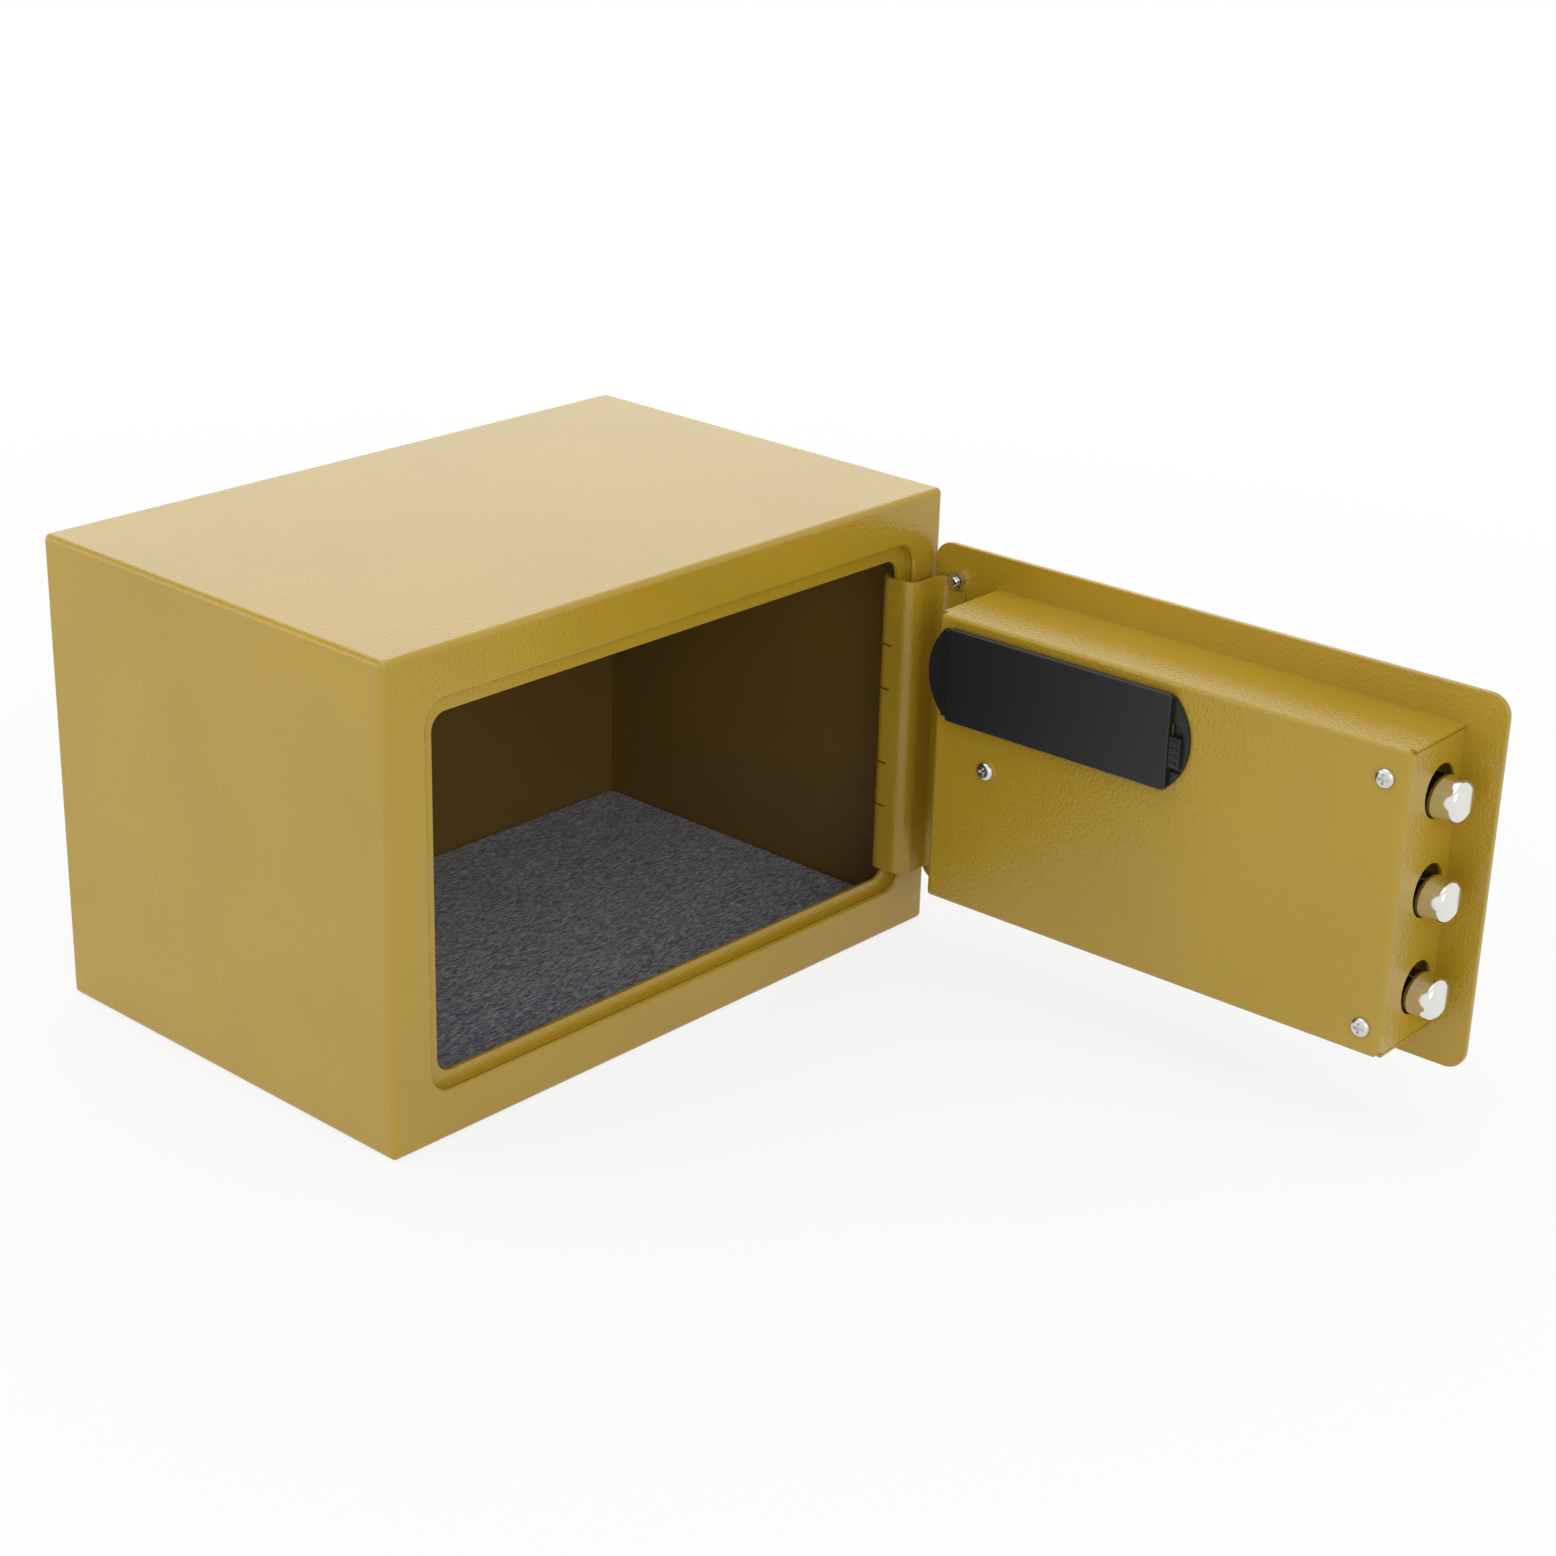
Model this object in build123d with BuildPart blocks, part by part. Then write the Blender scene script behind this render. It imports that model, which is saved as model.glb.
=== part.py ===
"""Electronic home safe with its door swung open, built as separate named pieces.

Millimetres. X runs left to right, Y from the front face to the back, Z up. The
origin is the middle of the underside. The door is drawn where it stands open, and
heights on the door and its hinge are taken from the middle level of the cabinet.
"""

import os
from math import cos, radians, sin

from build123d import *

os.makedirs("parts", exist_ok=True)

# ---- cabinet ----
body_width = 310.0
body_depth = 200.0
body_height = 200.0
shell_sheet = 2.0
shell_edge_radius = 2.5
seat_left = 20.0
seat_right = 17.2
seat_margin = 20.5
seat_corner = 10.0
seat_edge_round = 1.4
seat_depth = 4.5
frame_sheet = 1.5
lip_free = 6.0
lip_hinge = 5.6
lip_bottom = 5.5
lip_top = 7.0
lip_corner = 7.0
back_inset = 0.5
back_tray_depth = 5.0
anchor_hole = 10.0
anchor_spacing = 120.0
mat_thickness = 2.0
mat_margin = 1.0

# ---- hinge ----
door_open = 91.75
pin_diameter = 3.2
pin_from_side = 9.6
pin_from_front = 9.3
pin_past_plate = 10.6
pin_behind_plate = 4.8
running_fit = 0.05
leaf_sheet = 1.4
leaf_bottom = -70.0
knuckles = (30.0, 20.0, 34.0, 20.0, 30.0)
knuckle_slit = 0.8
slit_reach = -6.0
leaf_reach = 19.8
leaf_at_edge = 4.6
leaf_tab_end = 17.5
leaf_bends = (5.0, 6.5, 4.5)
curl_turn = 290.0
tongue_end = 10.4
tab_notch_start = 6.8
tab_notch_foot = 12.1
tab_notch_depth = 5.3
body_tab_depth = 22.0
body_bend = 2.5
pin_overhang = 1.5
stud_spot = (13.0, 63.5)
stud_diameter = 4.0
stud_height = 4.6
nut_flats = 7.0
nut_height = 3.2
nut_turn = 15.0

# ---- door plate and inner cover ----
plate_width = 268.4
plate_height = 156.4
plate_rise = 0.4
plate_sheet = 2.5
plate_corner = 8.7
plate_edge_round = 0.6
pan_from = 33.6
pan_to = 251.5
pan_bottom = -63.0
pan_top = 64.0
pan_depth = 40.0
pan_sheet = 1.2
pan_bend = 2.0
seam_gap = 0.35
seam_stop = 37.0
relief_notch = 2.4
bolt_hole = 22.0
bolt_hole_rise = 1.7
pan_screws_at = ((61.1, 1.7), (241.7, 51.0), (243.3, -51.4))
screw_shank = 3.9
screw_hole = 4.0
screw_head = 8.0
screw_head_height = 2.2
screw_crown = 1.76
screw_depth = 5.5
cross_width = 1.1
cross_length = 4.4
cross_depth = 1.1
bracket_sheet = 1.5
bracket_width = 14.0
bracket_tab = 15.0
bracket_foot = 11.0

# ---- bolt work ----
bolt_diameter = 17.5
bolt_spacing = 41.0
bolt_middle = -1.5
bolt_off = 15.0
bolt_tip = 262.8
bolt_tip_round = 2.5
bolt_travel = 10.0
rivet_shank = 8.0
rivet_head = 11.0
rivet_head_height = 2.5
carriage_sheet = 2.0
carriage_off = 5.0
carriage_from = 152.0
carriage_to = 239.0
carriage_bottom = -54.0
carriage_top = 51.0
carriage_flange = 24.0
carriage_step = (176.0, -25.0)
carriage_corner = 4.0
guide_spots = ((170.0, -20.0), (170.0, 19.0), (228.0, -22.0), (228.0, 19.0))
guide_collar = 10.0
guide_shank = 6.0
guide_gap = 0.2
guide_head_height = 2.0
crank_radius = 10.0
crank_swing = 30.0
crank_pin = 5.0
crank_clearance = 0.2
crank_slot_length = 18.0
crank_slot_drop = 3.2
cam_diameter = 30.0
cam_off = 1.0
cam_sheet = 3.0
cam_pin_top = 8.5

# ---- knob ----
knob_at = (198.0, -1.5)
spindle_diameter = 8.0
spindle_end_diameter = 6.0
spindle_end = 4.6
spindle_top = -27.0
bush_outer = 12.0
bush_flange = 17.0
bush_flange_sheet = 0.8
bush_fit = 0.1
knob_diameter = 40.0
knob_gap = 1.0
knob_base = 6.0
knob_grip = (37.0, 12.0)
knob_grip_height = 14.0
knob_round = 2.0

# ---- keypad ----
fascia_from = 44.0
fascia_to = 228.0
fascia_bottom = -42.0
fascia_top = 42.0
fascia_depth = 7.5
fascia_corner = 9.0
fascia_wall = 2.0
fascia_round = 1.5
fascia_screw_inset = 6.5
fascia_boss = 7.0
fascia_screw = 3.0
fascia_screw_clear = 3.4
fascia_screw_head = 5.5
fascia_screw_head_height = 2.0
fascia_screw_depth = 5.5
board_sheet = 1.6
board_box = (56.0, 118.0, -38.0, 39.0)
key_mat_sheet = 1.0
key_mat_box = (58.0, 114.0, -36.0, 30.0)
key_middle = (86.0, -2.0)
key_pitch = (18.0, 16.0)
key_size = (13.5, 11.0)
key_corner = 2.0
key_stand = 2.0
key_flange = 0.9
key_flange_sheet = 1.3
key_gap = 0.3
key_dish = 0.5
light_spacing = 12.0
light_height = 35.0
light_diameter = 3.0
light_stand = 0.6
light_clear = 0.2

# ---- key lock ----
lock_at = (138.0, -1.5)
lock_diameter = 16.0
lock_flange = 20.0
lock_flange_sheet = 0.8
lock_clear = 0.3
lock_inner = 12.0
lock_nut = 22.0
lock_nut_height = 3.0
plug_diameter = 10.0
plug_fit = 0.05
key_slot = (1.8, 7.6)
key_slot_depth = 9.0
tongue_sheet = 2.0
tongue_width = 12.0
tongue_length = 24.0
key_cover_diameter = 23.0
key_cover_sheet = 2.0
key_cover_gap = 0.4
key_cover_pivot = 15.5
key_cover_ear = 8.0
pivot_diameter = 3.0
pivot_head = 5.5
pivot_head_height = 1.2

# ---- solenoid ----
solenoid_at = (157.0, 8.75)
solenoid_sheet = 1.5
solenoid_bottom = -60.0
solenoid_top = -40.0
solenoid_width = 20.0
solenoid_height = 17.0
coil_diameter = 14.5
plunger_diameter = 6.0
plunger_clear = 0.3
plunger_tail = 1.5
plunger_gap = 1.0
plunger_collar = 9.5
plunger_collar_height = 1.5
plunger_collar_at = -30.0
spring_wire = 0.6
spring_turns = 4
spring_coil = 7.6

# ---- battery holder ----
flange_from = 38.0
flange_to = 149.4
flange_bottom = 21.0
flange_top = 58.4
flange_sheet = 1.5
flange_bulge_left = 7.6
flange_bulge_right = 8.1
tub_from = 40.0
tub_to = 148.0
tub_bottom = 22.6
tub_top = 56.8
tub_wall = 1.5
tub_floor = 22.0
latch_notch = (27.5, 47.5)
latch_notch_width = 5.2
latch_tab = (30.0, 42.5)
latch_tab_reach = 4.6
latch_tab_sheet = 1.8
latch_rib = 0.5
latch_rib_pitch = 3.0
latch_rib_length = 3.2
cover_from = 41.5
cover_to = 149.4
cover_bottom = 19.8
cover_top = 59.8
cover_sheet = 2.7
cover_corner = 1.5
cover_edge_round = 0.5
cover_ledge_from = 38.4
cover_ledge_sheet = 1.7
cell_diameter = 14.0
cell_length = 49.0
cell_nub = 5.5
cell_nub_height = 1.0
cell_gap = 0.1
cell_pitch = 15.0
contact_sheet = 0.4
contact_wire = 0.7
contact_coil = 7.0
contact_turns = 2.5

# ---- derived places ----
front = -body_depth / 2
seat_x = (-body_width / 2 + seat_left, body_width / 2 - seat_right)
seat_z = (seat_margin, body_height - seat_margin)
lip_x = (seat_x[0] + lip_free, seat_x[1] - lip_hinge)
lip_z = (seat_z[0] + lip_bottom, seat_z[1] - lip_top)
pin_x = body_width / 2 - pin_from_side
pin_y = front + pin_from_front
door_middle = body_height / 2
plate_bottom = plate_rise - plate_height / 2
turn = radians(door_open)
along = (-cos(turn), -sin(turn), 0.0)
inward = (-sin(turn), cos(turn), 0.0)
edge_x = pin_x + pin_past_plate * along[0] - pin_behind_plate * inward[0]
edge_y = pin_y + pin_past_plate * along[1] - pin_behind_plate * inward[1]
outer_face = -plate_sheet
fascia_face = outer_face - fascia_depth
pan_face = pan_depth
pan_under = pan_depth - pan_sheet
bolt_heights = (bolt_middle - bolt_spacing, bolt_middle, bolt_middle + bolt_spacing)


def door_point(reach, off, height):
    """Place in the open door from its hinge edge, its inner face and its middle level."""
    return (
        edge_x + reach * along[0] + off * inward[0],
        edge_y + reach * along[1] + off * inward[1],
        door_middle + height,
    )


def door_face(off, reach=0.0, height=0.0):
    """Plane lying parallel with the door: across, up, and out of the inner face."""
    return Plane(origin=door_point(reach, off, height), x_dir=along, z_dir=inward)


def door_plan(height, reach=0.0, off=0.0):
    """Level plane through the open door: across, and towards the outer face."""
    return Plane(origin=door_point(reach, off, height), x_dir=along, z_dir=(0, 0, 1))


def door_end(reach, off=0.0, height=0.0):
    """Plane square to the width of the door: up, and out of the inner face."""
    return Plane(origin=door_point(reach, off, height), x_dir=(0, 0, 1), z_dir=along)


def save(piece, name):
    """Name a piece and write it out."""
    piece.label = name
    export_step(piece, "parts/" + name + ".step")


# ---- cabinet shell: four sides and the front face in one folded sheet ----
with BuildPart() as body_shell:
    with BuildSketch(Plane.XY):
        Rectangle(body_width, body_depth)
    extrude(amount=body_height)
    fillet(body_shell.edges().sort_by(Axis.Y)[:-4], radius=shell_edge_radius)
    with BuildSketch(Plane.XZ.offset(-front - shell_sheet)):
        with Locations((0, body_height / 2)):
            RectangleRounded(
                body_width - 2 * shell_sheet,
                body_height - 2 * shell_sheet,
                shell_edge_radius - shell_sheet,
            )
    extrude(amount=-body_depth, mode=Mode.SUBTRACT)
    with BuildSketch(Plane.XZ.offset(-front)):
        with Locations(((seat_x[0] + seat_x[1]) / 2, (seat_z[0] + seat_z[1]) / 2)):
            RectangleRounded(seat_x[1] - seat_x[0], seat_z[1] - seat_z[0], seat_corner)
    extrude(amount=-shell_sheet, mode=Mode.SUBTRACT)
    rim = body_shell.faces().sort_by(Axis.Y)[0].inner_wires()[0].edges()
    fillet(rim, radius=seat_edge_round)
save(body_shell.part, "body_shell")

# ---- door frame: the seat wall behind the front face and the lip the door shuts on ----
with BuildPart() as door_frame:
    with BuildSketch(Plane.XZ.offset(-front - shell_sheet)):
        with Locations(((seat_x[0] + seat_x[1]) / 2, (seat_z[0] + seat_z[1]) / 2)):
            RectangleRounded(
                seat_x[1] - seat_x[0] + 2 * frame_sheet,
                seat_z[1] - seat_z[0] + 2 * frame_sheet,
                seat_corner + frame_sheet,
            )
            RectangleRounded(
                seat_x[1] - seat_x[0], seat_z[1] - seat_z[0], seat_corner, mode=Mode.SUBTRACT
            )
    extrude(amount=-(seat_depth + frame_sheet - shell_sheet))
    with BuildSketch(Plane.XZ.offset(-front - seat_depth)):
        with Locations(((seat_x[0] + seat_x[1]) / 2, (seat_z[0] + seat_z[1]) / 2)):
            RectangleRounded(seat_x[1] - seat_x[0], seat_z[1] - seat_z[0], seat_corner)
        with Locations(((lip_x[0] + lip_x[1]) / 2, (lip_z[0] + lip_z[1]) / 2)):
            RectangleRounded(lip_x[1] - lip_x[0], lip_z[1] - lip_z[0], lip_corner, mode=Mode.SUBTRACT)
    extrude(amount=-frame_sheet)
save(door_frame.part, "door_frame")

# ---- back panel: a shallow tray let into the shell, with two wall anchor holes ----
with BuildPart() as back_panel:
    with BuildSketch(Plane.XZ.offset(front + back_inset)):
        with Locations((0, body_height / 2)):
            RectangleRounded(body_width - 2 * shell_sheet, body_height - 2 * shell_sheet, shell_sheet)
    extrude(amount=back_tray_depth)
    with BuildSketch(Plane.XZ.offset(front + back_inset)):
        with Locations((0, body_height / 2)):
            RectangleRounded(body_width - 4 * shell_sheet, body_height - 4 * shell_sheet, shell_sheet / 2)
    extrude(amount=back_tray_depth - shell_sheet, mode=Mode.SUBTRACT)
    with BuildSketch(Plane.XZ.offset(front + back_inset)):
        with Locations((-anchor_spacing / 2, body_height / 2), (anchor_spacing / 2, body_height / 2)):
            Circle(anchor_hole / 2)
    extrude(amount=back_tray_depth, mode=Mode.SUBTRACT)
save(back_panel.part, "back_panel")

# ---- felt mat laid on the floor ----
mat_front = front + shell_sheet + mat_margin
mat_back = -front - back_inset - back_tray_depth - mat_margin
with BuildPart() as floor_mat:
    with BuildSketch(Plane.XY.offset(shell_sheet)):
        with Locations((0, (mat_front + mat_back) / 2)):
            RectangleRounded(
                body_width - 2 * shell_sheet - 2 * mat_margin, mat_back - mat_front, 2 * mat_margin
            )
    extrude(amount=mat_thickness)
save(floor_mat.part, "floor_mat")

# ---- hinge pin ----
leaf_top = leaf_bottom + sum(knuckles)
pin_radius = pin_diameter / 2
with BuildPart() as hinge_pin:
    with BuildSketch(Plane.XY.offset(door_middle + leaf_bottom - pin_overhang)):
        with Locations((pin_x, pin_y)):
            Circle(pin_radius)
    extrude(amount=leaf_top - leaf_bottom + 2 * pin_overhang)
    chamfer(hinge_pin.edges(), length=pin_radius / 4)
save(hinge_pin.part, "hinge_pin")

# ---- fixed hinge leaf: a tab on the side wall with two fingers curled round the pin ----
second_knuckle = leaf_bottom + knuckles[0]
third_knuckle = second_knuckle + knuckles[1]
fourth_knuckle = third_knuckle + knuckles[2]
fifth_knuckle = fourth_knuckle + knuckles[3]
fixed_curl = pin_radius + leaf_sheet / 2
wall_line = body_width / 2 - shell_sheet - leaf_sheet / 2
finger_line = pin_y + fixed_curl
with BuildPart() as body_hinge_leaf:
    for start, height in ((second_knuckle, knuckles[1]), (fourth_knuckle, knuckles[3])):
        with BuildSketch(Plane.XY.offset(door_middle + start)):
            with BuildLine():
                FilletPolyline(
                    (wall_line, finger_line + body_tab_depth),
                    (wall_line, finger_line),
                    (pin_x, finger_line),
                    radius=body_bend,
                )
                JernArc(start=(pin_x, finger_line), tangent=(-1, 0), radius=fixed_curl, arc_size=curl_turn)
            trace(line_width=leaf_sheet)
        extrude(amount=height)
    with BuildSketch(Plane.XY.offset(door_middle + leaf_bottom)):
        with Locations((wall_line, finger_line + body_bend + body_tab_depth / 2 - body_bend / 2)):
            Rectangle(leaf_sheet, body_tab_depth - body_bend)
    extrude(amount=leaf_top - leaf_bottom)
save(body_hinge_leaf.part, "body_hinge_leaf")

# ---- swan-neck hinge leaf: one folded sheet from the door plate round the lip to the pin ----
moving_curl = pin_radius + running_fit + leaf_sheet / 2
neck_line = -pin_past_plate - moving_curl
with BuildPart() as door_hinge_leaf:
    with BuildSketch(door_plan(leaf_bottom)):
        with BuildLine():
            FilletPolyline(
                (leaf_tab_end, -leaf_sheet / 2),
                (leaf_at_edge, -leaf_sheet / 2),
                (leaf_at_edge, -leaf_reach),
                (neck_line, -leaf_reach),
                (neck_line, -pin_behind_plate),
                radius=leaf_bends,
            )
            JernArc(
                start=(neck_line, -pin_behind_plate), tangent=(0, 1), radius=moving_curl, arc_size=-curl_turn
            )
        trace(line_width=leaf_sheet)
    extrude(amount=leaf_top - leaf_bottom)
    for start, height in ((second_knuckle, knuckles[1]), (fourth_knuckle, knuckles[3])):
        with BuildSketch(door_plan(start - knuckle_slit / 2)):
            with Locations((neck_line - leaf_sheet, -tongue_end)):
                Rectangle(
                    2 * (moving_curl + leaf_sheet), 2 * tongue_end, align=(Align.MIN, Align.MIN)
                )
        extrude(amount=height + knuckle_slit, mode=Mode.SUBTRACT)
    for level in (second_knuckle, third_knuckle, fourth_knuckle, fifth_knuckle):
        with BuildSketch(door_plan(level - knuckle_slit / 2)):
            with Locations((slit_reach, -leaf_reach / 2)):
                Rectangle(2 * leaf_reach, 2 * leaf_reach, align=(Align.MAX, Align.CENTER))
        extrude(amount=knuckle_slit, mode=Mode.SUBTRACT)
    with BuildSketch(door_face(leaf_sheet)):
        for foot, tip in (
            (leaf_top - tab_notch_depth, leaf_top),
            (leaf_bottom + tab_notch_depth, leaf_bottom),
        ):
            with BuildLine():
                Polyline(
                    (tab_notch_start, tip),
                    (tab_notch_foot, foot),
                    (leaf_tab_end + leaf_sheet, foot),
                    (leaf_tab_end + leaf_sheet, tip),
                    close=True,
                )
            make_face()
    extrude(amount=-leaf_sheet, mode=Mode.SUBTRACT)
save(door_hinge_leaf.part, "door_hinge_leaf")

# ---- studs and nuts beside the two ends of the swan-neck leaf ----
stud_spots = (stud_spot, (stud_spot[0], leaf_bottom + leaf_top - stud_spot[1]))
with BuildPart() as leaf_studs:
    with BuildSketch(door_face(0.0)):
        with Locations(*stud_spots):
            Circle(stud_diameter / 2)
    extrude(amount=stud_height)
    tips = leaf_studs.edges().filter_by(GeomType.CIRCLE).group_by(Axis(door_point(0, 0, 0), inward))[-1]
    chamfer(tips, length=stud_diameter / 10)
save(leaf_studs.part, "leaf_studs")
with BuildPart() as leaf_nuts:
    with BuildSketch(door_face(0.0)):
        with Locations(*stud_spots):
            RegularPolygon(nut_flats / 2, 6, major_radius=False, rotation=nut_turn)
            Circle(stud_diameter / 2, mode=Mode.SUBTRACT)
    extrude(amount=nut_height)
save(leaf_nuts.part, "leaf_nuts")

# ---- door plate ----
fascia_screw_spots = [
    (reach, height)
    for reach in (fascia_from + fascia_screw_inset, fascia_to - fascia_screw_inset)
    for height in (fascia_bottom + fascia_screw_inset, fascia_top - fascia_screw_inset)
]
with BuildPart() as door_plate:
    with BuildSketch(door_face(0.0)):
        with Locations((plate_width / 2, plate_bottom + plate_height / 2)):
            RectangleRounded(plate_width, plate_height, plate_corner)
    extrude(amount=-plate_sheet)
    across = door_plate.faces().sort_by(Axis(door_point(0, 0, 0), inward))
    fillet(across[0].edges() + across[-1].edges(), radius=plate_edge_round)
    with BuildSketch(door_face(0.0)):
        with Locations(knob_at):
            Circle(bush_outer / 2)
        with Locations(lock_at):
            Circle(lock_diameter / 2 + lock_clear)
        with Locations(*fascia_screw_spots):
            Circle(fascia_screw_clear / 2)
    extrude(amount=-plate_sheet, mode=Mode.SUBTRACT)
save(door_plate.part, "door_plate")

# ---- inner cover of the door: a folded pan with open corner seams ----
pan_middle = ((pan_from + pan_to) / 2, (pan_bottom + pan_top) / 2)
with BuildPart() as door_pan:
    with BuildSketch(door_face(0.0)):
        with Locations(pan_middle):
            Rectangle(pan_to - pan_from, pan_top - pan_bottom)
    extrude(amount=pan_depth)
    faces_out = door_pan.faces().sort_by(Axis(door_point(0, 0, 0), inward))
    fillet(faces_out[-1].edges(), radius=pan_bend)
    with BuildSketch(door_face(0.0)):
        with Locations(pan_middle):
            RectangleRounded(
                pan_to - pan_from - 2 * pan_sheet,
                pan_top - pan_bottom - 2 * pan_sheet,
                (pan_bend - pan_sheet) / 2,
            )
    extrude(amount=pan_under, mode=Mode.SUBTRACT)
    with BuildSketch(door_face(pan_depth)):
        with Locations(((tub_from + tub_to) / 2, (tub_bottom + tub_top) / 2)):
            Rectangle(tub_to - tub_from, tub_top - tub_bottom)
        with Locations(*pan_screws_at):
            Circle(screw_hole / 2)
    extrude(amount=-pan_sheet, mode=Mode.SUBTRACT)
    with BuildSketch(door_end(pan_to)):
        with Locations(*[(height + bolt_hole_rise, bolt_off) for height in bolt_heights]):
            Circle(bolt_hole / 2)
    extrude(amount=-pan_sheet, mode=Mode.SUBTRACT)
    for reach, side in ((pan_from, 1), (pan_to, -1)):
        with BuildSketch(door_end(reach)):
            for seam in (pan_top - pan_sheet - seam_gap / 2, pan_bottom + pan_sheet + seam_gap / 2):
                with Locations((seam, seam_stop / 2)):
                    Rectangle(seam_gap, seam_stop)
        extrude(amount=side * pan_sheet, mode=Mode.SUBTRACT)
    with BuildSketch(door_face(pan_depth)):
        for reach, side in ((pan_from, 1), (pan_to, -1)):
            for height, rise in ((pan_top, -1), (pan_bottom, 1)):
                with BuildLine():
                    Polyline(
                        (reach, height),
                        (reach + side * relief_notch, height),
                        (reach, height + rise * relief_notch),
                        close=True,
                    )
                make_face()
    extrude(amount=seam_stop - pan_depth, mode=Mode.SUBTRACT)
save(door_pan.part, "door_pan")

# ---- brackets that carry the inner cover, folded from strip ----
bracket_faces = (
    (pan_screws_at[0], (pan_screws_at[0][0] - bracket_tab / 2 - bracket_sheet, None)),
    (pan_screws_at[1], (None, pan_top - pan_sheet - bracket_sheet)),
    (pan_screws_at[2], (None, pan_bottom + pan_sheet + bracket_sheet)),
)
with BuildPart() as pan_brackets:
    for (reach, height), (wall_reach, wall_height) in bracket_faces:
        if wall_height is None:
            box = (wall_reach, wall_reach + bracket_tab, height - bracket_width / 2, height + bracket_width / 2)
            foot = (wall_reach, wall_reach + bracket_foot, box[2], box[3])
            wall = (wall_reach, wall_reach + bracket_sheet, box[2], box[3])
        elif wall_height > height:
            box = (reach - bracket_width / 2, reach + bracket_width / 2, wall_height - bracket_tab, wall_height)
            foot = (box[0], box[1], wall_height - bracket_foot, wall_height)
            wall = (box[0], box[1], wall_height - bracket_sheet, wall_height)
        else:
            box = (reach - bracket_width / 2, reach + bracket_width / 2, wall_height, wall_height + bracket_tab)
            foot = (box[0], box[1], wall_height, wall_height + bracket_foot)
            wall = (box[0], box[1], wall_height, wall_height + bracket_sheet)
        for (left, right, low, high), off, depth in (
            (foot, 0.0, bracket_sheet),
            (wall, 0.0, pan_under),
            (box, pan_under - bracket_sheet, bracket_sheet),
        ):
            with BuildSketch(door_face(off)):
                with Locations(((left + right) / 2, (low + high) / 2)):
                    Rectangle(right - left, high - low)
            extrude(amount=depth)
    with BuildSketch(door_face(pan_under)):
        with Locations(*pan_screws_at):
            Circle(screw_hole / 2)
    extrude(amount=-bracket_sheet, mode=Mode.SUBTRACT)
save(pan_brackets.part, "pan_brackets")

# ---- cross-head screws that hold the inner cover ----
with BuildPart() as pan_screws:
    with BuildSketch(door_face(pan_depth)):
        with Locations(*pan_screws_at):
            Circle(screw_head / 2)
    extrude(amount=screw_head_height)
    crowns = pan_screws.edges().group_by(Axis(door_point(0, 0, 0), inward))[-1]
    fillet(crowns, radius=screw_crown)
    with BuildSketch(door_face(pan_depth)):
        with Locations(*pan_screws_at):
            Circle(screw_shank / 2)
    extrude(amount=-screw_depth)
    with BuildSketch(door_face(pan_depth + screw_head_height)):
        with Locations(*pan_screws_at):
            Rectangle(cross_length, cross_width)
            Rectangle(cross_width, cross_length)
    extrude(amount=-cross_depth, mode=Mode.SUBTRACT)
save(pan_screws.part, "pan_screws")

# ---- three locking bolts, each riveted to the carriage ----
with BuildPart() as locking_bolts:
    for height in bolt_heights:
        with BuildSketch(door_end(carriage_to)):
            with Locations((height, bolt_off)):
                Circle(bolt_diameter / 2)
        extrude(amount=bolt_tip - carriage_to)
    tips = locking_bolts.edges().group_by(Axis(door_point(0, 0, 0), along))[-1]
    fillet(tips, radius=bolt_tip_round)
    for height in bolt_heights:
        with BuildSketch(door_end(carriage_to)):
            with Locations((height, bolt_off)):
                Circle(rivet_shank / 2)
        extrude(amount=-carriage_sheet)
        with BuildSketch(door_end(carriage_to - carriage_sheet)):
            with Locations((height, bolt_off)):
                Circle(rivet_head / 2)
        extrude(amount=-rivet_head_height)
save(locking_bolts.part, "locking_bolts")

# ---- bolt carriage: a sliding plate with an upturned flange ----
crank_start = (
    knob_at[0] - crank_radius * sin(radians(crank_swing)),
    knob_at[1] + crank_radius * cos(radians(crank_swing)),
)
with BuildPart() as bolt_carriage:
    with BuildSketch(door_face(carriage_off)):
        with BuildLine():
            FilletPolyline(
                (carriage_to, carriage_bottom),
                (carriage_to, carriage_top),
                (carriage_from, carriage_top),
                (carriage_from, carriage_step[1]),
                (carriage_step[0], carriage_step[1]),
                (carriage_step[0], carriage_bottom),
                (carriage_to, carriage_bottom),
                radius=(0, carriage_corner, carriage_corner, carriage_corner, carriage_corner, 0),
                close=True,
            )
        make_face()
        with Locations(*[(reach - bolt_travel / 2, height) for reach, height in guide_spots]):
            SlotOverall(
                bolt_travel + guide_shank + 4 * guide_gap, guide_shank + 2 * guide_gap, mode=Mode.SUBTRACT
            )
        with Locations((crank_start[0], crank_start[1] - crank_slot_drop)):
            SlotOverall(
                crank_slot_length, crank_pin + 2 * crank_clearance, rotation=90, mode=Mode.SUBTRACT
            )
    extrude(amount=carriage_sheet)
    with BuildSketch(door_face(carriage_off)):
        with Locations((carriage_to - carriage_sheet / 2, (carriage_bottom + carriage_top) / 2)):
            Rectangle(carriage_sheet, carriage_top - carriage_bottom)
    extrude(amount=carriage_flange - carriage_off)
    with BuildSketch(door_end(carriage_to)):
        with Locations(*[(height, bolt_off) for height in bolt_heights]):
            Circle(rivet_shank / 2)
    extrude(amount=-carriage_sheet, mode=Mode.SUBTRACT)
save(bolt_carriage.part, "bolt_carriage")

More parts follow.
